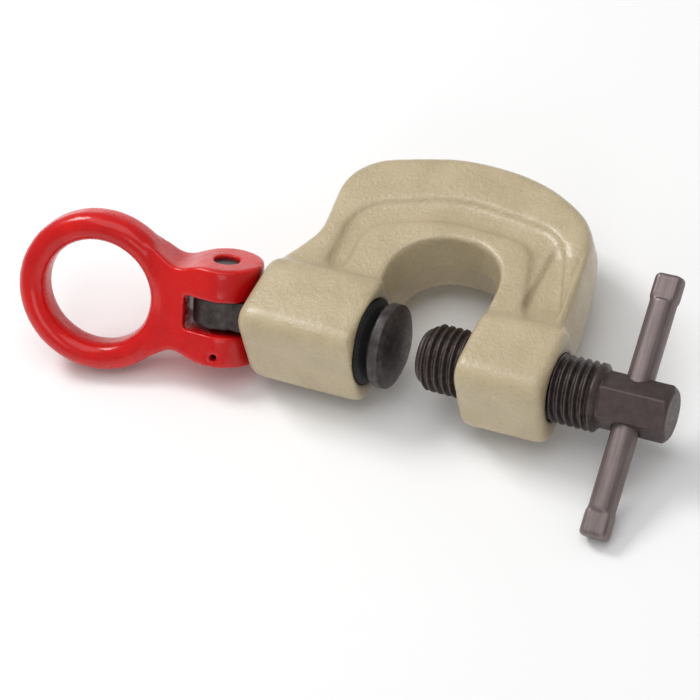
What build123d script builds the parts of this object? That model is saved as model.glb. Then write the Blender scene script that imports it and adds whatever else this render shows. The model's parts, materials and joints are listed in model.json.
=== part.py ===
from build123d import *
import math
import os

# Screw cam beam clamp, lying on its side.
# Origin: centre of the jaw's clamping face, on the screw axis.
# +X: along the screw axis, towards the T-bar.
# +Y: from the mouth of the throat to the arch of the C.
# +Z: up, square to the flat of the C.
# All lengths are millimetres and all angles degrees.

# ---- driving dimensions -------------------------------------------------

# clamping screw, M30 x 3.5
thread_d = 30.0
opening_rest = 10.0          # jaw face to anvil face as stored
running_gap = 0.06          # radial clearance of every turning or sliding fit

# C frame; its own stations are measured from the inner face of the jaw boss
jaw_proud = 14.5            # jaw face in front of the jaw boss
boss_gap = 47.0             # between the inner faces of the two bosses
jaw_boss_length = 57.0
jaw_boss_half = 22.0
screw_boss_length = 40.0
screw_boss_half = 20.5
boss_corner = 9.0
limb_half = 17.0            # half thickness of the C's limbs
draft = 7.0                 # forging draft either side of the parting line
limb_edge = 5.0             # rounding of the limbs' edges
channel_depth = 3.0
channel_wall_slope = 20.0
jaw_boss_end_rounds = (7.0, 2.5)
screw_boss_end_rounds = (3.0, 4.0)
mouth_radii = (13.0, 17.5)  # flared mouth that the cam rod swings in

# lifting ring
pin_station = 75.0          # pin axis outside the jaw boss's inner face
ring_roll = 60.0            # pin axis, from +Y towards +Z
ring_tilt = 13.0            # stored tilt of the ring about its pin
ring_drop = 1.2             # the ring has slid down its pin, against the tongue
eye_distance = 58.9         # pin axis to the eye's centre
eye_radius = 25.0
ring_radius = 37.8
ring_half = 9.0             # half thickness of the ring
ring_edge = 6.0             # rounding of the ring's section
waist_station = 21.0        # pin axis to the narrowest part of the neck
waist_half = 19.0
ear_radius = 17.0
ear_face = 23.2             # clevis centre to an ear's outer face
clevis_half = 8.2           # half the gap between the ears
clevis_depth = 15.5         # pin axis to the bottom of the gap
hinge_pin_radius = 6.0
pin_half_length = 21.5      # the pin's ends sit inside the ears
roll_pin_radius = 1.75
roll_pin_station = -18.5    # along the pin, in the lower ear
roll_pin_length = 26.0
roll_pin_wall = 0.6

# cam rod
ball_station = 36.0         # ball centre behind the jaw boss's inner face
ball_radius = 12.0
nose_offset = 8.0           # flat nose, ahead of the ball's centre
rod_neck_radius = 8.5
tongue_half = 6.9
tongue_half_width = 11.0
tongue_eye_radius = 14.2
tongue_bush_wall = 2.0

# swivel seat behind the ball
seat_back = 11.0            # ball centre to the seat's back
seat_front = 1.0            # ball centre to the seat's front
seat_lip_radii = (10.3, 11.6)
washer_thickness = 2.0
stack_gap = 0.1             # end play left between stacked pieces

# jaw plunger and what guides it
pocket_radius = 17.5
plunger_radius = 10.0
plunger_flange_radius = 14.5
plunger_flange_length = 4.0
guide_bush_length = 9.0
retainer_recess = 6.6       # snap ring behind the boss's inner face
retainer_width = 1.5
retainer_bite = 1.1         # snap ring's depth in the pocket's wall
o_ring_radius = 1.05
spring_wire = 1.4
spring_turns = 2.5
end_gap = 0.05              # between faces that only touch
seal_recess_radius = 19.2
seal_recess_depth = 4.0
seal_shoulder = 0.6
seal_bevel = 2.4
seal_lip_reach = 1.6
seal_lip_wall = 2.6
jaw_radius = 19.0
jaw_back = 4.5              # jaw's back face in front of the boss
jaw_crown = 4.8             # height of the jaw's dome
jaw_back_chamfer = 1.0
spigot_radius = 6.0         # plunger's spigot inside the jaw
spigot_length = 5.5
clip_start = 3.0            # snap ring groove along the spigot
groove_width = 1.2
groove_depth = 0.8
clip_width = 1.1

# clamping screw's ends
head_station = 93.0         # start of the hexagonal head
head_length = 30.0
head_half = 11.0            # half the head's width across flats
head_roll = 14.0            # a flat's direction, from +Y towards +Z
head_crown = 2.0            # length of the turned chamfer on the head's end
bar_station = 105.5
bar_radius = 6.0
bar_length = 116.0
bar_roll = 26.0             # bar axis, from +Y towards +Z
bar_end_length = 12.0       # swaged ends that keep the bar in the head
bar_end_radius = 6.6
bar_end_thickness = 9.8     # across the two flats pressed on each end
bar_end_round = 1.8
anvil_radius = 12.0
anvil_thickness = 2.2
anvil_shank_radius = 5.0
anvil_shank_length = 12.0
anvil_edge = 1.2

# ---- shared stations and frames ------------------------------------------

boss_inner_x = -jaw_proud
boss_outer_x = boss_inner_x - jaw_boss_length
screw_boss_x = boss_inner_x + boss_gap
screw_boss_end_x = screw_boss_x + screw_boss_length
ball_x = boss_inner_x - ball_station
pin_x = boss_inner_x - pin_station
pocket_end_x = ball_x - seat_back
washer_x = ball_x + seat_front + stack_gap
nose_x = ball_x + nose_offset
plunger_x = nose_x + end_gap
retainer_x = boss_inner_x - retainer_recess
bush_end_x = retainer_x - 2 * stack_gap
bush_start_x = bush_end_x - guide_bush_length
o_ring_x = bush_end_x - 3.8
stem_end_x = boss_inner_x + jaw_back
anvil_back_x = opening_rest + anvil_thickness
screw_tip_x = anvil_back_x + stack_gap
shank_end_x = anvil_back_x + anvil_shank_length
anvil_groove_x = shank_end_x - 3.0
head_end_x = head_station + head_length

# rod frame: local X points out of the clamp, local Y lies along the hinge pin
pin_axis = Vector(0, math.cos(math.radians(ring_roll)), math.sin(math.radians(ring_roll)))
rod_plane = Plane(
    origin=(pin_x, 0, 0),
    x_dir=(-1, 0, 0),
    z_dir=Vector(-1, 0, 0).cross(pin_axis),
)
# ring frame: the rod frame, moved down the hinge pin and turned about it
ring_plane = Plane(rod_plane.location * Pos(0, -ring_drop, 0) * Rot(0, ring_tilt, 0))
# bar frame: local X lies along the T-bar
bar_plane = Plane(
    origin=(bar_station, 0, 0),
    x_dir=(0, math.cos(math.radians(bar_roll)), math.sin(math.radians(bar_roll))),
    z_dir=(0, -math.sin(math.radians(bar_roll)), math.cos(math.radians(bar_roll))),
)


# ---- helpers ---------------------------------------------------------------

def turned(*outline):
    """Solid of revolution about the screw axis, from corners (x, radius)."""
    return revolve(make_face(Polyline(*outline, close=True)), Axis.X)


def tube(x_start, x_end, outer, inner):
    """Plain sleeve on the screw axis."""
    return turned((x_start, inner), (x_start, outer), (x_end, outer), (x_end, inner))


def rod_along_x(x_start, x_end, radius):
    """Plain round bar on the screw axis."""
    return turned((x_start, 0), (x_start, radius), (x_end, radius), (x_end, 0))


def cross_pin(plane, y_start, y_end, radius):
    """Round bar along a plane's local Y through its origin."""
    bar = extrude(Plane.XZ * Circle(radius), amount=-(y_end - y_start))
    return plane.location * (Pos(0, y_start, 0) * bar)


def split_ring(x_start, width, outer, inner, gap):
    """Snap ring with its gap towards +Y."""
    gap_box = Pos(x_start + width / 2, outer, 0) * Box(width + 1, outer, gap)
    return tube(x_start, x_start + width, outer, inner) - gap_box


def rounded_outline(corners):
    """Closed outline from corners (x, y, radius), counter-clockwise."""
    points = [(x, y) for x, y, radius in corners]
    radii = [radius for x, y, radius in corners]
    return make_face(FilletPolyline(*points, radius=radii, close=True))


# ---- C frame ---------------------------------------------------------------

def c_limbs():
    """The C itself: two drafted halves that meet at the parting line."""
    outer = [
        (85, -6, 4), (84, 36, 90), (77, 81, 34), (46.5, 101.5, 75), (4, 107, 90),
        (-51.5, 90, 26), (-46, 44, 18), (-56, 23, 8), (-55, -6, 4),
    ]
    half = extrude(rounded_outline(outer), amount=limb_half, taper=draft)
    top_edges = half.faces().sort_by(Axis.Z)[-1].edges()
    half = fillet(top_edges, limb_edge)
    return half + mirror(half, about=Plane.XY)


def throat():
    """The open space between the bosses, wider at its two faces."""
    outline = [
        (0, -40, 1), (boss_gap, -40, 1), (boss_gap, 6, 15), (43, 52, 20),
        (-3, 52, 21), (-2, 22, 10), (0, 8, 10),
    ]
    half = extrude(rounded_outline(outline), amount=limb_half + 1, taper=-draft)
    passage = Pos(boss_gap / 2, -20, 0) * Box(boss_gap, 50, 120)
    return half + mirror(half, about=Plane.XY) + passage


def channel():
    """Shallow forged channel that follows the C on one face."""
    outline = [
        (-24, 24, 3), (-25, 52, 14), (10, 65, 60), (53, 61, 14), (65, 19, 5),
        (79, 22, 5), (64, 70, 22), (10, 78, 60), (-34, 62, 18), (-31.5, 24, 3),
    ]
    return Pos(0, 0, limb_half - channel_depth) * extrude(
        rounded_outline(outline), amount=channel_depth + 1, taper=-channel_wall_slope
    )


def boss(x_start, length, half, end_rounds):
    """Rounded square boss on the screw axis; end_rounds are those of its low and high X ends."""
    block = Pos(x_start + length / 2, 0, 0) * Box(length, 2 * half, 2 * half)
    block = fillet(block.edges().filter_by(Axis.X), boss_corner)
    low_end = block.faces().sort_by(Axis.X)[0]
    block = fillet(low_end.edges(), end_rounds[0])
    high_end = block.faces().sort_by(Axis.X)[-1]
    return fillet(high_end.edges(), end_rounds[1])


def make_frame():
    jaw_boss = boss(-jaw_boss_length, jaw_boss_length, jaw_boss_half, jaw_boss_end_rounds)
    screw_boss = boss(boss_gap, screw_boss_length, screw_boss_half, screw_boss_end_rounds)
    body = c_limbs() - throat()
    body = body - channel() - mirror(channel(), about=Plane.XY)
    body = Pos(boss_inner_x, 0, 0) * (body + jaw_boss + screw_boss)
    mouth = turned(
        (pocket_end_x + 1, 0), (pocket_end_x + 1, mouth_radii[0]), (pocket_end_x, mouth_radii[0]),
        (boss_outer_x, mouth_radii[1]), (boss_outer_x - 1, mouth_radii[1]), (boss_outer_x - 1, 0),
    )
    pocket = rod_along_x(pocket_end_x, boss_inner_x + 1, pocket_radius)
    seal_recess = rod_along_x(boss_inner_x - seal_recess_depth, boss_inner_x + 1, seal_recess_radius)
    groove = rod_along_x(
        retainer_x - stack_gap, retainer_x + retainer_width + stack_gap,
        pocket_radius + retainer_bite + stack_gap
    )
    screw_bore = rod_along_x(screw_boss_x - 1, screw_boss_end_x + 1, thread_d / 2 + running_gap)
    return body - mouth - pocket - seal_recess - groove - screw_bore


# ---- cam rod, its seat and the jaw ---------------------------------------

def make_cam_rod():
    """Flat tongue, round neck and a ball whose flat nose is the cam."""
    shoulder = ear_radius + 1
    plan = Circle(tongue_eye_radius) + Pos(-shoulder / 2, 0) * Rectangle(shoulder, 2 * tongue_half_width)
    tongue = rod_plane.location * extrude(Plane.XZ * plan, amount=tongue_half, both=True)
    neck = rod_along_x(pin_x + shoulder, ball_x, rod_neck_radius)
    ball = Pos(ball_x, 0, 0) * Sphere(ball_radius)
    nose_cut = rod_along_x(nose_x, ball_x + 2 * ball_radius, ball_radius)
    rod = tongue + neck + ball - nose_cut
    return rod - cross_pin(rod_plane, -20, 20, hinge_pin_radius + tongue_bush_wall)


def make_tongue_bush():
    outer = cross_pin(rod_plane, -tongue_half, tongue_half, hinge_pin_radius + tongue_bush_wall)
    return outer - cross_pin(rod_plane, -20, 20, hinge_pin_radius + running_gap)


def make_swivel_seat():
    """Cup behind the ball: it carries the load and turns in the pocket."""
    outer = pocket_radius - running_gap
    cup = turned(
        (pocket_end_x, seat_lip_radii[1]), (pocket_end_x, outer), (ball_x + seat_front, outer),
        (ball_x + seat_front, seat_lip_radii[0]), (ball_x - seat_back / 2, seat_lip_radii[0]),
    )
    return cup - Pos(ball_x, 0, 0) * Sphere(ball_radius + running_gap)


def make_thrust_washer():
    return tube(washer_x, washer_x + washer_thickness, pocket_radius - stack_gap, ball_radius + 0.4)


def make_jaw_plunger():
    flange_end = plunger_x + plunger_flange_length
    spigot_end = stem_end_x + spigot_length
    groove = stem_end_x + clip_start
    groove_radius = spigot_radius - groove_depth
    return turned(
        (plunger_x, 0), (plunger_x, plunger_flange_radius - 1),
        (plunger_x + 1, plunger_flange_radius), (flange_end, plunger_flange_radius),
        (flange_end, plunger_radius), (stem_end_x, plunger_radius),
        (stem_end_x, spigot_radius), (groove, spigot_radius), (groove, groove_radius),
        (groove + groove_width, groove_radius), (groove + groove_width, spigot_radius),
        (spigot_end, spigot_radius), (spigot_end, 0),
    )


def make_return_spring():
    """Coil between the plunger's flange and the guide bush; it pushes the jaw back."""
    start = plunger_x + plunger_flange_length + spring_wire / 2 + end_gap
    height = bush_start_x - spring_wire / 2 - end_gap - start
    coil_radius = plunger_radius + 0.5 + spring_wire
    path = Helix(pitch=height / spring_turns, height=height, radius=coil_radius)
    section = Plane(path @ 0, z_dir=path % 0) * Circle(spring_wire / 2)
    coil = sweep(section, path=path)
    return Pos(start, 0, 0) * Rot(0, 90, 0) * coil


def make_guide_bush():
    bush = tube(bush_start_x, bush_end_x, pocket_radius, plunger_radius + running_gap)
    groove_half = o_ring_radius + 0.35
    groove_radius = plunger_radius + 2 * o_ring_radius + stack_gap
    return bush - tube(o_ring_x - groove_half, o_ring_x + groove_half, groove_radius, plunger_radius)


def make_plunger_o_ring():
    section = Pos(o_ring_x, plunger_radius + o_ring_radius + end_gap) * Circle(o_ring_radius)
    return revolve(section, Axis.X)


def make_retaining_ring():
    return split_ring(
        retainer_x, retainer_width, pocket_radius + retainer_bite, pocket_radius - 3, gap=8
    )


def make_wiper_seal():
    """Rubber wiper that fills the recess in the boss and rubs on the stem."""
    start = boss_inner_x - seal_recess_depth
    bore = plunger_radius + end_gap
    lip_x = boss_inner_x + seal_lip_reach
    return turned(
        (start, bore), (start, seal_recess_radius), (boss_inner_x - seal_shoulder, seal_recess_radius),
        (boss_inner_x + seal_shoulder, seal_recess_radius - seal_bevel), (lip_x, bore + seal_lip_wall),
        (lip_x, bore),
    )


def make_swivel_jaw():
    """Domed disc that turns on the plunger's spigot."""
    back = stem_end_x + end_gap
    dome_radius = (jaw_radius ** 2 + jaw_crown ** 2) / (2 * jaw_crown)
    half_angle = math.asin(jaw_radius / dome_radius) / 2
    dome_middle = (dome_radius * (math.cos(half_angle) - 1), dome_radius * math.sin(half_angle))
    sides = Polyline(
        (0, 0), (back, 0), (back, jaw_radius - jaw_back_chamfer),
        (back + jaw_back_chamfer, jaw_radius), (-jaw_crown, jaw_radius),
    )
    dome = ThreePointArc((-jaw_crown, jaw_radius), dome_middle, (0, 0))
    disc = revolve(make_face(sides + dome), Axis.X)
    socket = rod_along_x(back - 1, back + spigot_length + 0.1, spigot_radius + running_gap)
    clip_x = back + clip_start
    clip_space = tube(clip_x - 0.2, clip_x + clip_width + 0.3, spigot_radius + 1, spigot_radius)
    return disc - socket - clip_space


def make_jaw_clip():
    start = stem_end_x + clip_start + end_gap
    return split_ring(start, clip_width, spigot_radius + 0.9, spigot_radius - 0.7, gap=5)


# ---- lifting ring ----------------------------------------------------------

def ring_band():
    """The round eye, with a rounded section and a short straight land inside."""
    band_width = ring_radius - eye_radius
    section = Pos(eye_distance + eye_radius + band_width / 2, 0) * RectangleRounded(
        band_width, 2 * ring_half, ring_edge
    )
    return revolve(Plane.XZ * section, Axis((eye_distance, 0, 0), (0, 0, 1)))


def ring_clevis():
    """Neck and ears: the front outline crossed with the side outline."""
    neck_end = eye_distance - eye_radius
    lower_side = [
        (-ear_radius, -ear_face, 0.5), (9, -ear_face, 25), (waist_station, -waist_half, 9),
        (neck_end + 4, -eye_radius - 5, 1),
    ]
    upper_side = [(x, -y, radius) for x, y, radius in reversed(lower_side)]
    front = rounded_outline(lower_side + upper_side)
    neck_tip = Pos(neck_end, 0) * Rectangle(2, 2 * ring_half - 2)
    side = make_hull((Circle(ear_radius) + neck_tip).edges())
    body = extrude(front, amount=ring_radius, both=True)
    body = body & extrude(Plane.XZ * side, amount=2 * ear_face, both=True)
    eye_hole = Pos(eye_distance, 0, 0) * Cylinder(eye_radius + ring_edge, 4 * ring_half)
    gap = Pos(clevis_depth - 2 * ear_radius, 0, 0) * Box(4 * ear_radius, 2 * clevis_half, 4 * ear_radius)
    return body - eye_hole - gap


def make_lifting_ring():
    """Forged eye with a clevis; local X to the eye, local Y along the pin."""
    ring = ring_plane.location * (ring_band() + ring_clevis())
    pin_hole = cross_pin(ring_plane, -30, 30, hinge_pin_radius)
    return ring - pin_hole - make_roll_pin_hole()


def make_hinge_pin():
    """Pin through both ears, cross drilled for the roll pin."""
    pin = cross_pin(ring_plane, -pin_half_length, pin_half_length, hinge_pin_radius)
    return pin - make_roll_pin_hole()


def make_roll_pin_hole():
    """Cross hole in the lower ear, square to the hinge pin."""
    hole = Cylinder(roll_pin_radius, 2 * ear_radius + 4)
    return ring_plane.location * (Pos(0, roll_pin_station, 0) * hole)


def make_hinge_roll_pin():
    pin = Cylinder(roll_pin_radius, roll_pin_length)
    hollow = Cylinder(roll_pin_radius - roll_pin_wall, roll_pin_length + 1)
    slit = Pos(roll_pin_radius, 0, 0) * Box(2 * roll_pin_radius, roll_pin_wall, roll_pin_length + 1)
    return ring_plane.location * (Pos(0, roll_pin_station, 0) * (pin - hollow - slit))


# ---- clamping screw, anvil and T-bar ---------------------------------------

def make_clamp_screw():
    """Screw blank at the thread's outer diameter, with its hexagonal head."""
    radius = thread_d / 2
    shaft = turned(
        (screw_tip_x, 0), (screw_tip_x, anvil_radius + 0.3), (screw_tip_x + 2.3, radius),
        (head_station - 2, radius), (head_station + 1, head_half), (head_station + 1, 0),
    )
    hexagon = RegularPolygon(head_half, 6, major_radius=False)
    head = extrude(Plane.YZ.offset(head_station) * Rot(0, 0, head_roll + 30) * hexagon, amount=head_length)
    corner = head_half / math.cos(math.radians(30))
    crown_x = head_end_x - head_crown
    crown = turned(
        (head_station, 0), (head_station, corner), (crown_x, corner),
        (head_end_x, head_half - 0.6), (head_end_x, 0),
    )
    head = head & crown
    bar_hole = bar_plane.location * (Rot(0, 90, 0) * Cylinder(bar_radius + running_gap, 4 * head_half))
    socket = rod_along_x(screw_tip_x - 1, shank_end_x + 0.5, anvil_shank_radius + running_gap)
    clip_space = tube(
        anvil_groove_x - 0.2, anvil_groove_x + clip_width + 0.3, anvil_shank_radius + 1.1, anvil_shank_radius
    )
    return shaft + head - bar_hole - socket - clip_space


def make_anvil():
    """Hardened pad that the screw's tip turns against."""
    shank = anvil_shank_radius
    groove_radius = shank - groove_depth
    groove_end_x = anvil_groove_x + groove_width
    return turned(
        (opening_rest, 0), (opening_rest, anvil_radius - anvil_edge),
        (opening_rest + anvil_edge, anvil_radius), (anvil_back_x, anvil_radius),
        (anvil_back_x, shank), (anvil_groove_x, shank), (anvil_groove_x, groove_radius),
        (groove_end_x, groove_radius), (groove_end_x, shank), (shank_end_x, shank), (shank_end_x, 0),
    )


def make_anvil_clip():
    start = anvil_groove_x + end_gap
    return split_ring(start, clip_width, anvil_shank_radius + 1.0, anvil_shank_radius - 0.7, gap=4)


def make_t_bar():
    bar = Rot(0, 90, 0) * Cylinder(bar_radius, bar_length - 2 * bar_end_length + 1)
    end = Rot(0, 90, 0) * Cylinder(bar_end_radius, bar_end_length)
    end = end & Box(bar_end_length, 2 * bar_end_radius, bar_end_thickness)
    end = fillet(end.faces().filter_by(Axis.X).edges(), bar_end_round)
    offset = (bar_length - bar_end_length) / 2
    bar = bar + Pos(offset, 0, 0) * end + Pos(-offset, 0, 0) * end
    return bar_plane.location * bar


PARTS = {
    "frame": make_frame,
    "cam_rod": make_cam_rod,
    "tongue_bush": make_tongue_bush,
    "swivel_seat": make_swivel_seat,
    "thrust_washer": make_thrust_washer,
    "jaw_plunger": make_jaw_plunger,
    "return_spring": make_return_spring,
    "guide_bush": make_guide_bush,
    "plunger_o_ring": make_plunger_o_ring,
    "retaining_ring": make_retaining_ring,
    "wiper_seal": make_wiper_seal,
    "swivel_jaw": make_swivel_jaw,
    "jaw_clip": make_jaw_clip,
    "lifting_ring": make_lifting_ring,
    "hinge_pin": make_hinge_pin,
    "hinge_roll_pin": make_hinge_roll_pin,
    "clamp_screw": make_clamp_screw,
    "anvil": make_anvil,
    "anvil_clip": make_anvil_clip,
    "t_bar": make_t_bar,
}

os.makedirs("parts", exist_ok=True)
for name, make in PARTS.items():
    shape = make()
    shape.label = name
    export_step(shape, f"parts/{name}.step")
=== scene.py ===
import json
import math

import bmesh
import bpy
import numpy as np
from mathutils import Matrix, Vector, noise


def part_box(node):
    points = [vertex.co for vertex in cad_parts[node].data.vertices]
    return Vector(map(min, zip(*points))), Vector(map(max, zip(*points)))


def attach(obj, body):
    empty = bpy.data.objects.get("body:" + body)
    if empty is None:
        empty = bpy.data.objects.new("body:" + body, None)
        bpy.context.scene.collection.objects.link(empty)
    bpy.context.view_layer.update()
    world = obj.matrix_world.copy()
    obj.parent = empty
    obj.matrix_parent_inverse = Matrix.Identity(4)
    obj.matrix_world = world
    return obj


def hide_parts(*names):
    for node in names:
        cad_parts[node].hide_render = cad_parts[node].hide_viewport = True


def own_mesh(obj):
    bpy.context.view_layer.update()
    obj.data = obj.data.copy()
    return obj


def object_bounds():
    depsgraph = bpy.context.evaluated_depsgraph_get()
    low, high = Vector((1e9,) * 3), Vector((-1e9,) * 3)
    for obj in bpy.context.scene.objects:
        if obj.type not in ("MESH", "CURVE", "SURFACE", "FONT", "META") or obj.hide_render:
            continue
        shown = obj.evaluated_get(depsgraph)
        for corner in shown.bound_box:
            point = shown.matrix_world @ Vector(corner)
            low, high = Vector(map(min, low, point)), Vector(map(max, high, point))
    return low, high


# Screw cam beam clamp. Lengths are metres in the CAD frame: +X along the
# clamping screw, +Y from the mouth to the arch of the C, +Z up.

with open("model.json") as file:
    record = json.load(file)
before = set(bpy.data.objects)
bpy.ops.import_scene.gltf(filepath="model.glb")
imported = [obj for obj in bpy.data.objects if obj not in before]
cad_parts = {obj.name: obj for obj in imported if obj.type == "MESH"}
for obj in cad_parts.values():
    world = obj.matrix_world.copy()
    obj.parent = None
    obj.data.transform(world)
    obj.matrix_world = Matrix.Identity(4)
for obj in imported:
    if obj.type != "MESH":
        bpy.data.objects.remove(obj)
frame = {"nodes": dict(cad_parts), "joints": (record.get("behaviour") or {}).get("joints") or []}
cad_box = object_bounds()
mm = 0.001
joints = {joint["name"]: joint for joint in frame["joints"]}

# clamping screw, M30 x 3.5
thread_pitch = 3.5 * mm
thread_depth = 0.6134 * thread_pitch
thread_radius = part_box("clamp_screw")[1].z
head_station = 93 * mm
tip_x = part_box("clamp_screw")[0].x
anvil_shank = 5 * mm
anvil_shank_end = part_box("anvil")[1].x

jaw_crown = 4.8 * mm
jaw_socket = 6.25 * mm
jaw_socket_depth = 5.9 * mm
bore_edge = (16.5 * mm, 20.5 * mm)      # from bored surfaces to forged ones
bore_play = 0.45 * mm                   # room round a node that turns in a bore
clip_play = 0.25 * mm                   # room round a snap ring in its groove
limb_start_y = 24 * mm                  # where the bosses end and the limbs begin

# pocket in the screw limb's faces
pocket_x = 55 * mm
pocket_half = 9 * mm
pocket_y = 44 * mm
pocket_reach = 22 * mm
pocket_extra = 1.6 * mm

# hinge pin's and T-bar's directions
pin_point = Vector(joints["ring_hinge"]["pos_m"])
pin_axis = Vector(joints["ring_hinge"]["axis"]).normalized()
bar_axis = Vector(joints["bar_slide"]["axis"]).normalized()


# ---- materials ---------------------------------------------------------------

class Finish:
    """A Principled material and the nodes that feed it, in the piece's own metres."""

    def __init__(self, name):
        self.material = bpy.data.materials.new(name)
        self.material.use_nodes = True
        self.tree = self.material.node_tree
        self.shader = self.tree.nodes["Principled BSDF"]
        self.place = self.tree.nodes.new("ShaderNodeTexCoord").outputs["Object"]

    def set(self, **sockets):
        for name, value in sockets.items():
            socket = self.shader.inputs[name.replace("_", " ")]
            if isinstance(value, bpy.types.NodeSocket):
                self.tree.links.new(value, socket)
            else:
                socket.default_value = value
        return self

    def node(self, kind, inputs, **settings):
        node = self.tree.nodes.new(kind)
        for name, value in settings.items():
            setattr(node, name, value)
        for name, value in inputs.items():
            if isinstance(value, bpy.types.NodeSocket):
                self.tree.links.new(value, node.inputs[name])
            else:
                node.inputs[name].default_value = value
        return node

    def noise(self, size, detail=3.0, roughness=0.55, place=None):
        """Noise from 0 to 1 whose blotches are about size metres across."""
        place = place or self.place
        inputs = {"Vector": place, "Scale": 1 / size, "Detail": detail, "Roughness": roughness}
        return self.node("ShaderNodeTexNoise", inputs).outputs["Fac"]

    def stretched(self, direction, factor):
        """Coordinates squeezed along a direction, so that noise streaks along it."""
        turn = Vector((1, 0, 0)).rotation_difference(direction).inverted().to_euler()
        inputs = {"Vector": self.place, "Rotation": turn}
        turned = self.node("ShaderNodeMapping", inputs, vector_type="POINT")
        scale = (factor, 1, 1)
        return self.node(
            "ShaderNodeMapping", {"Vector": turned.outputs["Vector"], "Scale": scale}
        ).outputs["Vector"]

    def span(self, value, low, high, to_low=0.0, to_high=1.0):
        """Maps low..high to to_low..to_high, clamped."""
        inputs = {"Value": value, "From Min": low, "From Max": high, "To Min": to_low, "To Max": to_high}
        return self.node("ShaderNodeMapRange", inputs).outputs["Result"]

    def mix(self, factor, first, second):
        node = self.node("ShaderNodeMix", {}, data_type="RGBA")
        for index, value in ((0, factor), (6, first), (7, second)):
            if isinstance(value, bpy.types.NodeSocket):
                self.tree.links.new(value, node.inputs[index])
            else:
                node.inputs[index].default_value = value
        return node.outputs[2]

    def maths(self, operation, first, second):
        node = self.node("ShaderNodeMath", {}, operation=operation)
        for index, value in enumerate((first, second)):
            if isinstance(value, bpy.types.NodeSocket):
                self.tree.links.new(value, node.inputs[index])
            else:
                node.inputs[index].default_value = value
        return node.outputs[0]

    def bump(self, height, distance, strength=1.0, under=None):
        """Bump of a height from 0 to 1 that stands for distance metres."""
        inputs = {"Height": height, "Distance": distance, "Strength": strength}
        if under is not None:
            inputs["Normal"] = under
        return self.node("ShaderNodeBump", inputs).outputs["Normal"]

    def edges(self, low, high):
        """1 on outer edges and 0 on flats and in hollows, on an evenly meshed piece."""
        pointiness = self.node("ShaderNodeNewGeometry", {}).outputs["Pointiness"]
        return self.span(pointiness, low, high)

    def hollows(self, reach):
        """Mask for painted shade: 1 deep in corners and 0 on open surfaces."""
        open_share = self.node(
            "ShaderNodeAmbientOcclusion", {"Distance": reach}, samples=8
        ).outputs["AO"]
        return self.span(open_share, 0.15, 0.95, 1.0, 0.0)


def frame_paint():
    """Beige enamel over a shot-blasted forging, with painted highlights on its outer edges and painted
    shade in its corners.
    """
    f = Finish("beige_enamel")
    cloud = f.noise(22 * mm, 4)
    colour = f.mix(f.span(cloud, 0.35, 0.65), (0.462, 0.372, 0.228, 1), (0.532, 0.436, 0.276, 1))
    speck = f.span(f.noise(1.3 * mm, 2), 0.56, 0.74)
    colour = f.mix(f.maths("MULTIPLY", speck, 0.35), colour, (0.30, 0.235, 0.14, 1))
    # Painted highlight: outer edges lightened in patches toward pale beige.
    edge_highlight = f.maths("MULTIPLY", f.edges(0.52, 0.60), f.span(f.noise(5 * mm, 4), 0.42, 0.62))
    colour = f.mix(f.maths("MULTIPLY", edge_highlight, 0.45), colour, (0.62, 0.55, 0.40, 1))
    # Painted shade: corners and recesses, such as the throat wall, darkened to brown.
    colour = f.mix(f.maths("MULTIPLY", f.hollows(14 * mm), 0.8), colour, (0.15, 0.092, 0.035, 1))
    roughness = f.span(f.noise(3 * mm, 3), 0.3, 0.7, 0.30, 0.46)
    blasted = f.bump(f.noise(1.9 * mm, 3, 0.6), 0.55 * mm)
    peel = f.bump(f.noise(0.7 * mm, 2), 0.08 * mm, under=blasted)
    return f.set(
        Base_Color=colour, Roughness=roughness, Normal=peel, Specular_IOR_Level=0.5,
        Coat_Weight=0.35, Coat_Roughness=0.22,
    ).material


def ring_paint():
    """Glossy red enamel, with painted highlights on its outer edges and painted shade in its corners."""
    f = Finish("red_enamel")
    cloud = f.noise(18 * mm, 3)
    colour = f.mix(f.span(cloud, 0.35, 0.65), (0.54, 0.0025, 0.0035, 1), (0.66, 0.006, 0.005, 1))
    # Painted highlight: outer edges lightened in patches to a brighter red.
    edge_highlight = f.maths("MULTIPLY", f.edges(0.53, 0.62), f.span(f.noise(4 * mm, 4), 0.4, 0.6))
    colour = f.mix(f.maths("MULTIPLY", edge_highlight, 0.5), colour, (0.74, 0.05, 0.025, 1))
    # Painted shade: corners darkened to deep red.
    colour = f.mix(f.maths("MULTIPLY", f.hollows(8 * mm), 0.5), colour, (0.20, 0.0, 0.004, 1))
    roughness = f.span(f.noise(6 * mm, 3), 0.3, 0.7, 0.22, 0.36)
    waves = f.bump(f.noise(4.5 * mm, 2), 0.2 * mm)
    peel = f.bump(f.noise(0.9 * mm, 2), 0.02 * mm, under=waves)
    return f.set(
        Base_Color=colour, Roughness=roughness, Normal=peel, Specular_IOR_Level=0.22,
        Coat_Weight=0.4, Coat_Roughness=0.08,
    ).material


def dark_steel(name, dark, light, grain=2.5 * mm, roughness=(0.34, 0.55), metallic=0.55):
    """Black-oxide or oiled steel, lighter where its edges are rubbed."""
    f = Finish(name)
    blotch = f.span(f.noise(grain, 5, 0.65), 0.35, 0.68)
    colour = f.mix(blotch, (*dark, 1), (*light, 1))
    rubbed = tuple(min(1, 2.2 * x) for x in light)
    edge = f.maths("MULTIPLY", f.edges(0.52, 0.60), f.span(f.noise(1.5 * mm, 3), 0.3, 0.6))
    colour = f.mix(f.maths("MULTIPLY", edge, 0.8), colour, (*rubbed, 1))
    rough = f.span(f.noise(1.2 * mm, 4), 0.3, 0.7, *roughness)
    skin = f.bump(f.noise(0.7 * mm, 4, 0.6), 0.05 * mm)
    return f.set(
        Base_Color=colour, Roughness=rough, Metallic=metallic, Normal=skin, Specular_IOR_Level=0.5,
    ).material


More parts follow.
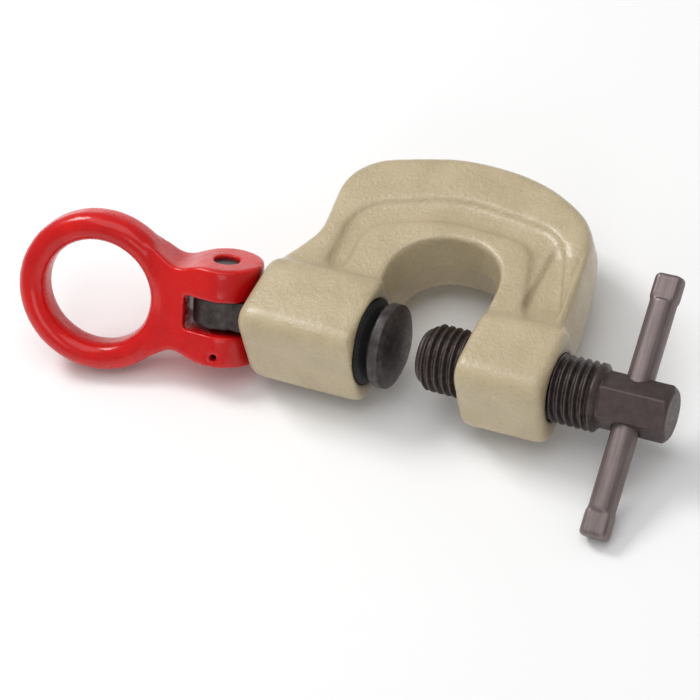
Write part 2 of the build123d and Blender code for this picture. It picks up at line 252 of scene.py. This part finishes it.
def drawn_steel(name, direction, dark, light, metallic=0.6):
    """Drawn bar: streaks along its length under a thin brown oxide."""
    f = Finish(name)
    streak = f.noise(0.8 * mm, 4, place=f.stretched(direction, 0.04))
    blotch = f.noise(7 * mm, 5, 0.6)
    colour = f.mix(f.span(streak, 0.3, 0.7), (*dark, 1), (*light, 1))
    colour = f.mix(f.maths("MULTIPLY", f.span(blotch, 0.45, 0.7), 0.35), colour, (*dark, 1))
    edge = f.edges(0.51, 0.57)
    bright = tuple(1.5 * x for x in light)
    colour = f.mix(f.maths("MULTIPLY", edge, 0.6), colour, (*bright, 1))
    rough = f.span(streak, 0.25, 0.75, 0.34, 0.5)
    skin = f.bump(streak, 0.03 * mm)
    skin = f.bump(f.noise(1.0 * mm, 3), 0.03 * mm, under=skin)
    return f.set(
        Base_Color=colour, Roughness=rough, Metallic=metallic, Normal=skin,
    ).material


def machined(name, dark, light, metallic=0.9, roughness=(0.22, 0.38)):
    """Turned or ground metal with fine marks round the screw axis."""
    f = Finish(name)
    marks = f.noise(0.25 * mm, 3, place=f.stretched(Vector((0, 1, 0)), 0.1))
    blotch = f.noise(3 * mm, 4)
    colour = f.mix(f.span(blotch, 0.3, 0.7), (*dark, 1), (*light, 1))
    rough = f.span(marks, 0.3, 0.7, *roughness)
    return f.set(
        Base_Color=colour, Roughness=rough, Metallic=metallic, Normal=f.bump(marks, 0.01 * mm),
    ).material


def rubber():
    f = Finish("seal_rubber")
    blotch = f.span(f.noise(2 * mm, 4), 0.35, 0.65)
    colour = f.mix(blotch, (0.010, 0.009, 0.009, 1), (0.022, 0.020, 0.020, 1))
    rough = f.span(f.noise(1 * mm, 3), 0.3, 0.7, 0.55, 0.75)
    skin = f.bump(f.noise(0.5 * mm, 3), 0.03 * mm)
    return f.set(Base_Color=colour, Roughness=rough, Normal=skin).material


# ---- mesh helpers --------------------------------------------------------------

def linked(name, mesh, body, material, slot, *nodes):
    """Puts a finished mesh in the scene as the stand-in for CAD nodes on a body."""
    piece = bpy.data.objects.new(name, mesh)
    bpy.context.scene.collection.objects.link(piece)
    mesh.materials.clear()
    mesh.materials.append(material)
    mesh.shade_smooth()
    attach(piece, body)
    if nodes:
        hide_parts(*nodes)
    return piece


def even_mesh(node, voxel):
    """A CAD node's surface as a fresh, evenly divided mesh."""
    source = bpy.data.objects.new("source", frame["nodes"][node].data.copy())
    bpy.context.scene.collection.objects.link(source)
    remesh = source.modifiers.new("even", "REMESH")
    remesh.mode = "VOXEL"
    remesh.voxel_size = voxel
    depsgraph = bpy.context.evaluated_depsgraph_get()
    mesh = bpy.data.meshes.new_from_object(source.evaluated_get(depsgraph))
    bpy.data.objects.remove(source)
    return mesh


def points_of(mesh):
    flat = np.empty(len(mesh.vertices) * 3)
    mesh.vertices.foreach_get("co", flat)
    return flat.reshape(-1, 3)


def place_points(mesh, points):
    mesh.vertices.foreach_set("co", points.ravel())
    mesh.update()


def relax(mesh, rounds, weight):
    """Draws each point towards its neighbours' mean, by its weight, to round the edges."""
    points = points_of(mesh)
    ends = np.empty(len(mesh.edges) * 2, np.int32)
    mesh.edges.foreach_get("vertices", ends)
    near, far = ends.reshape(-1, 2).T
    start, stop = np.concatenate([near, far]), np.concatenate([far, near])
    count = np.bincount(start, minlength=len(points))
    share = (0.5 * weight(points) / np.maximum(count, 1))[:, None]
    for _ in range(rounds):
        total = np.stack(
            [np.bincount(start, points[stop, axis], len(points)) for axis in range(3)], axis=1
        )
        points += share * (total - count[:, None] * points)
    place_points(mesh, points)


def everywhere(points):
    """Weight that rounds the whole of a piece alike."""
    return np.ones(len(points))


def raise_skin(mesh, height):
    """Moves each point along its normal by height(points, normals)."""
    points = points_of(mesh)
    flat = np.empty(len(mesh.vertices) * 3)
    mesh.vertices.foreach_get("normal", flat)
    normals = flat.reshape(-1, 3)
    place_points(mesh, points + normals * height(points, normals)[:, None])


def ripple(points, size):
    """Smooth noise from -1 to 1 at each point, size metres across."""
    return np.array([noise.noise(Vector(point) / size) for point in points])


def eased(corners, ease, steps=4):
    """An outline's points with each inner corner rounded off."""
    corners = [Vector(corner) for corner in corners]
    outline = [corners[0]]
    for before, corner, after in zip(corners, corners[1:], corners[2:]):
        reach = min(ease, (before - corner).length * 0.45, (after - corner).length * 0.45)
        first = corner + (before - corner).normalized() * reach
        last = corner + (after - corner).normalized() * reach
        for step in range(steps + 1):
            t = step / steps
            outline.append(first * (1 - t) ** 2 + corner * 2 * t * (1 - t) + last * t * t)
    return outline + [corners[-1]]


def spun_mesh(name, rows, turns):
    """Closed mesh round the X axis from rows (x, radius or one radius per step)."""
    angles = np.arange(turns) * 2 * math.pi / turns
    vertices, faces, starts = [], [], []
    for x, radius in rows:
        starts.append(len(vertices))
        if np.ndim(radius) == 0 and radius == 0:
            vertices.append((x, 0, 0))
        else:
            radii = np.broadcast_to(radius, turns)
            vertices += [(x, r * math.cos(a), r * math.sin(a)) for r, a in zip(radii, angles)]
    starts.append(len(vertices))
    for row in range(len(rows) - 1):
        low, high = starts[row], starts[row + 1]
        single_low, single_high = high - low == 1, starts[row + 2] - high == 1
        for step in range(turns):
            after = (step + 1) % turns
            if single_low:
                faces.append((low, high + after, high + step))
            elif single_high:
                faces.append((low + step, low + after, high))
            else:
                faces.append((low + step, low + after, high + after, high + step))
    mesh = bpy.data.meshes.new(name)
    mesh.from_pydata(vertices, [], faces)
    mesh.update()
    return mesh


def clip_groove(clip, socket):
    """Corners of the groove round a snap ring in a socket, from high X to low."""
    low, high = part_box(clip)
    radius = high.z + clip_play
    start, end = high.x + clip_play, low.x - clip_play
    return [(start, socket), (start, radius), (end, radius), (end, socket)]


def open_bore(mesh, node):
    """Widens the bore round a node that turns in it, so that the two stay apart."""
    low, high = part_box(node)
    points = points_of(mesh)
    from_axis = np.hypot(points[:, 1], points[:, 2])
    wall = (points[:, 0] > low.x - bore_play) & (points[:, 0] < high.x + bore_play)
    wall &= from_axis < high.z + 2 * bore_play
    factor = np.where(wall, np.maximum(1, (high.z + bore_play) / np.maximum(from_axis, mm)), 1)
    points[:, 1:] *= factor[:, None]
    place_points(mesh, points)


# ---- pieces ----------------------------------------------------------------------

def bored(points):
    """Weight that keeps bored surfaces round the screw axis crisp."""
    from_axis = np.hypot(points[:, 1], points[:, 2])
    return np.clip((from_axis - bore_edge[0]) / (bore_edge[1] - bore_edge[0]), 0.10, 1.0)


def near_parting(points):
    """Weight that blends the two drafted halves of the limbs where the dies met."""
    across = np.clip(1 - np.abs(points[:, 2]) / (9 * mm), 0, 1)
    on_limb = np.clip((points[:, 1] - limb_start_y) / (6 * mm), 0, 1)
    return across * on_limb


def pocket_depth(points, normals):
    """Extra depth of the channel's outer half where it runs down the screw limb."""
    on_face = np.clip((np.abs(normals[:, 2]) - 0.5) / 0.4, 0, 1)
    across = np.clip(1 - np.abs(points[:, 0] - pocket_x) / pocket_half, 0, 1)
    along = np.clip(1 - np.abs(points[:, 1] - pocket_y) / pocket_reach, 0, 1)
    return pocket_extra * on_face * np.minimum(1, 4 * across) * np.minimum(1, 3 * along)


def parting_line(points, normals):
    """Forged ripples, and the low ridge left where the two dies met."""
    ridge_half = 1.5 * mm
    ridge_height = 0.22 * mm
    forging_shrink = 0.25 * mm
    across = np.clip(1 - (points[:, 2] / ridge_half) ** 2, 0, 1) ** 2
    side_wall = np.clip((0.7 - np.abs(normals[:, 2])) / 0.3, 0, 1)
    on_limb = np.clip((points[:, 1] - limb_start_y) / (6 * mm), 0, 1)
    uneven = 1 + 0.5 * ripple(points, 9 * mm)
    ridge = ridge_height * across * side_wall * on_limb * uneven
    forged = bored(points) * (0.16 * mm * ripple(points, 13 * mm) + 0.06 * mm * ripple(points, 4 * mm))
    return ridge + forged - forging_shrink * on_limb - pocket_depth(points, normals)


def make_frame_casting(material):
    mesh = even_mesh("frame", 0.85 * mm)
    relax(mesh, 30, bored)
    relax(mesh, 60, near_parting)
    raise_skin(mesh, parting_line)
    open_bore(mesh, "swivel_seat")
    return linked("frame_forging", mesh, "root", material, "frame_paint", "frame")


def ring_weight(points):
    """Weight that keeps the pin holes and the clevis gap crisp."""
    offset = points - np.array(pin_point)
    along = offset @ np.array(pin_axis)
    from_pin = np.linalg.norm(offset - along[:, None] * np.array(pin_axis), axis=1)
    hole = np.clip((from_pin - 6.5 * mm) / (4 * mm), 0.06, 1)
    gap = np.where(from_pin < 18 * mm, np.clip((np.abs(along) - 8 * mm) / (4 * mm), 0.3, 1), 1)
    return np.minimum(hole, gap)


def make_ring(material):
    mesh = even_mesh("lifting_ring", 0.65 * mm)
    relax(mesh, 22, ring_weight)
    raise_skin(mesh, lambda points, normals: ring_weight(points) * 0.10 * mm * ripple(points, 9 * mm))
    return linked("forged_ring", mesh, "ring", material, "ring_paint", "lifting_ring")


def thread_rows(start, end, turns):
    """Rows of an ISO thread that fades out at both ends."""
    angles = np.arange(turns) * 2 * math.pi / turns
    rows = []
    for x in np.arange(start, end, thread_pitch / 14):
        phase = ((x / thread_pitch - angles / (2 * math.pi)) % 1.0)
        flank = np.clip((np.abs(phase - 0.5) - 1 / 16) / (5 / 16), 0, 1)
        depth = thread_depth * (flank * flank * (3 - 2 * flank) * 0.35 + flank * 0.65)
        entry = min(1.0, max(0.0, (end - x) / (0.8 * thread_pitch)))
        chamfer = thread_radius - max(0.0, (tip_x + 2.6 * mm - x)) * 1.05
        rows.append((x, np.minimum(thread_radius - depth * entry, chamfer)))
    return rows


def make_screw(material):
    socket = anvil_shank + 0.1 * mm
    socket_end = anvil_shank_end + 0.4 * mm
    shaft_end = head_station - 2.2 * mm
    rows = [(socket_end, 0), (socket_end, socket)] + clip_groove("anvil_clip", socket)
    rows += [(tip_x + 0.2 * mm, socket), (tip_x, socket + 0.3 * mm)]
    rows += [(tip_x, thread_radius - 3.2 * mm)]
    rows += thread_rows(tip_x + 0.15 * mm, shaft_end, 120)
    rows += [(shaft_end + 0.3 * mm, thread_radius - 0.2 * mm)]
    rows += [(head_station + 1 * mm, thread_radius - 4 * mm), (head_station + 1 * mm, 0)]
    mesh = spun_mesh("thread", rows, 120)
    return linked("clamp_screw_thread", mesh, "screw", material, "black_oxide", "clamp_screw")


def make_head(material):
    """The hexagonal head, cut from the CAD screw just behind its shaft."""
    mesh = even_mesh("clamp_screw", 0.5 * mm)
    edit = bmesh.new()
    edit.from_mesh(mesh)
    cut = bmesh.ops.bisect_plane(
        edit, geom=edit.verts[:] + edit.edges[:] + edit.faces[:],
        plane_co=(head_station - 0.2 * mm, 0, 0), plane_no=(-1, 0, 0), clear_outer=True,
    )
    rim = [item for item in cut["geom_cut"] if isinstance(item, bmesh.types.BMEdge)]
    bmesh.ops.contextual_create(edit, geom=rim)
    edit.to_mesh(mesh)
    edit.free()
    relax(mesh, 4, everywhere)
    return linked("clamp_screw_head", mesh, "screw", material, "black_oxide", "clamp_screw")


def make_softened(node, name, body, voxel, rounds, material, slot):
    mesh = even_mesh(node, voxel)
    relax(mesh, rounds, everywhere)
    return linked(name, mesh, body, material, slot, node)


def make_jaw(material):
    """Domed jaw: broad turned rim, then a shallow dome with faint turning rings."""
    low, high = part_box("swivel_jaw")
    radius = high.z
    dome = (radius ** 2 + jaw_crown ** 2) / (2 * jaw_crown)
    corners = [(low.x + jaw_socket_depth, 0), (low.x + jaw_socket_depth, jaw_socket)]
    corners += clip_groove("jaw_clip", jaw_socket) + [
        (low.x, jaw_socket), (low.x, radius - 1.0 * mm), (low.x + 1.0 * mm, radius),
        (-jaw_crown, radius), (-jaw_crown + 0.9 * mm, radius - 2.2 * mm),
    ]
    outline = [(p.x, p.y) for p in eased(corners, 0.7 * mm)]
    for distance in np.linspace(radius - 2.6 * mm, 0, 80):
        x = math.sqrt(dome ** 2 - distance ** 2) - dome
        ring = 0.05 * mm * (0.5 - 0.5 * math.cos(2 * math.pi * distance / (1.9 * mm)))
        outline.append((x - ring, distance))
    mesh = spun_mesh("jaw", outline, 128)
    return linked("domed_jaw", mesh, "jaw", material, "black_oxide", "swivel_jaw")


def make_anvil(material):
    low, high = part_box("anvil")
    radius = high.z
    shoulder = tip_x - 0.1 * mm
    corners = [
        (low.x + 0.3 * mm, 0), (low.x + 0.3 * mm, 3 * mm), (low.x, 3.6 * mm), (low.x, radius - 1.2 * mm),
        (low.x + 1.2 * mm, radius), (shoulder, radius), (shoulder, anvil_shank), (high.x, anvil_shank),
        (high.x, 0),
    ]
    outline = [(p.x, p.y) for p in eased(corners, 0.3 * mm)]
    mesh = spun_mesh("pad", outline, 96)
    return linked("anvil_pad", mesh, "pad", material, "black_oxide", "anvil")


def make_spring(material):
    """Return coil against the bush, which the cam compresses in use; here it is rounded a little and
    given its own mesh.
    """
    mesh = even_mesh("return_spring", 0.25 * mm)
    relax(mesh, 3, everywhere)
    coil = linked("return_coil", mesh, "root", material, "spring_steel", "return_spring")
    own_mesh(coil)


# ---- build -------------------------------------------------------------------------

beige = frame_paint()
red = ring_paint()
oxide = dark_steel("thread_oxide", (0.038, 0.028, 0.026), (0.086, 0.066, 0.062))
head_steel = dark_steel("head_oxide", (0.072, 0.052, 0.050), (0.098, 0.072, 0.070), grain=5 * mm)
jaw_steel = dark_steel("jaw_oxide", (0.040, 0.033, 0.034), (0.098, 0.084, 0.084), grain=4 * mm)
rod_steel = dark_steel("rod_oxide", (0.036, 0.029, 0.028), (0.088, 0.070, 0.066), grain=4 * mm)
bar_steel = drawn_steel("bar_oxide", bar_axis, (0.15, 0.115, 0.115), (0.24, 0.195, 0.19))
pin_steel = machined("pin_steel", (0.045, 0.050, 0.058), (0.095, 0.100, 0.112))
ground = machined("ground_steel", (0.24, 0.24, 0.25), (0.42, 0.42, 0.43))
spring = machined("spring_steel", (0.10, 0.10, 0.11), (0.22, 0.22, 0.23))
bronze = machined("bearing_bronze", (0.42, 0.26, 0.10), (0.58, 0.40, 0.18))
seal = rubber()

make_frame_casting(beige)
make_ring(red)
make_screw(oxide)
make_head(head_steel)
make_jaw(jaw_steel)
make_anvil(head_steel)
make_spring(spring)
make_softened("cam_rod", "forged_cam_rod", "rod", 0.6 * mm, 8, rod_steel, "black_oxide")
make_softened("t_bar", "swaged_t_bar", "bar", 0.5 * mm, 7, bar_steel, "bar_steel")

kept_nodes = {
    "swivel_seat": ground, "jaw_plunger": ground, "hinge_pin": pin_steel,
    "thrust_washer": bronze, "guide_bush": bronze, "tongue_bush": bronze,
    "retaining_ring": spring, "jaw_clip": spring, "anvil_clip": spring,
    "hinge_roll_pin": spring, "wiper_seal": seal, "plunger_o_ring": seal,
}
for node, material in kept_nodes.items():
    slots = frame["nodes"][node].data.materials
    slots.clear()
    slots.append(material)

# ---- floor, lights and camera ----------------------------------------------------------

def make_floor():
    mesh = bpy.data.meshes.new("floor")
    half, height = 6.0, cad_box[0][2] - 0.2 * mm
    mesh.from_pydata(
        [(-half, -half, height), (half, -half, height), (half, half, height), (-half, half, height)],
        [], [(0, 1, 2, 3)],
    )
    f = Finish("pale_floor")
    tone = f.mix(f.noise(0.4, 3), (0.94, 0.94, 0.94, 1), (0.97, 0.97, 0.97, 1))
    f.set(Base_Color=tone, Roughness=0.9, Specular_IOR_Level=0.1)
    mesh.materials.append(f.material)
    floor = bpy.data.objects.new("floor", mesh)
    bpy.context.scene.collection.objects.link(floor)


def direction(azimuth, elevation):
    a, e = math.radians(azimuth), math.radians(elevation)
    return Vector((math.cos(a) * math.cos(e), math.sin(a) * math.cos(e), math.sin(e)))


def make_softbox(name, azimuth, elevation, distance, size, power):
    """Square light that faces the middle of the clamp."""
    light = bpy.data.lights.new(name, "AREA")
    light.size, light.energy = size, power
    box = bpy.data.objects.new(name, light)
    back = direction(azimuth, elevation)
    facing = back.to_track_quat("Z", "Y").to_matrix().to_4x4()
    box.matrix_world = Matrix.Translation(middle + back * distance) @ facing
    bpy.context.scene.collection.objects.link(box)


def make_camera(azimuth, elevation, roll, distance, target, lens):
    camera = bpy.data.objects.new("camera", bpy.data.cameras.new("camera"))
    camera.data.lens, camera.data.sensor_width = lens, 36
    back = direction(azimuth, elevation)
    right = direction(azimuth + 90, 0)
    turned = Matrix.Rotation(math.radians(roll), 3, back)
    right, up = turned @ right, turned @ back.cross(right)
    facing = Matrix((right, up, back)).transposed().to_4x4()
    camera.matrix_world = Matrix.Translation(target + back * distance) @ facing
    bpy.context.scene.collection.objects.link(camera)
    bpy.context.scene.camera = camera


middle = (Vector(cad_box[0]) + Vector(cad_box[1])) / 2
make_floor()
make_softbox("key", azimuth=165, elevation=52, distance=1.5, size=0.5, power=11)
make_softbox("top", azimuth=-60, elevation=82, distance=1.4, size=1.2, power=7)
make_softbox("front", azimuth=-75, elevation=22, distance=1.6, size=0.7, power=3)
world = bpy.data.worlds.new("studio")
world.use_nodes = True
world.node_tree.nodes["Background"].inputs["Color"].default_value = (1, 1, 1, 1)
world.node_tree.nodes["Background"].inputs["Strength"].default_value = 0.38
bpy.context.scene.world = world
bpy.context.scene.view_settings.view_transform = "Standard"
make_camera(
    azimuth=-54.93, elevation=48.38, roll=-13.69, distance=0.9654,
    target=Vector((-0.02326, -0.0069, -0.00054)), lens=113.14,
)
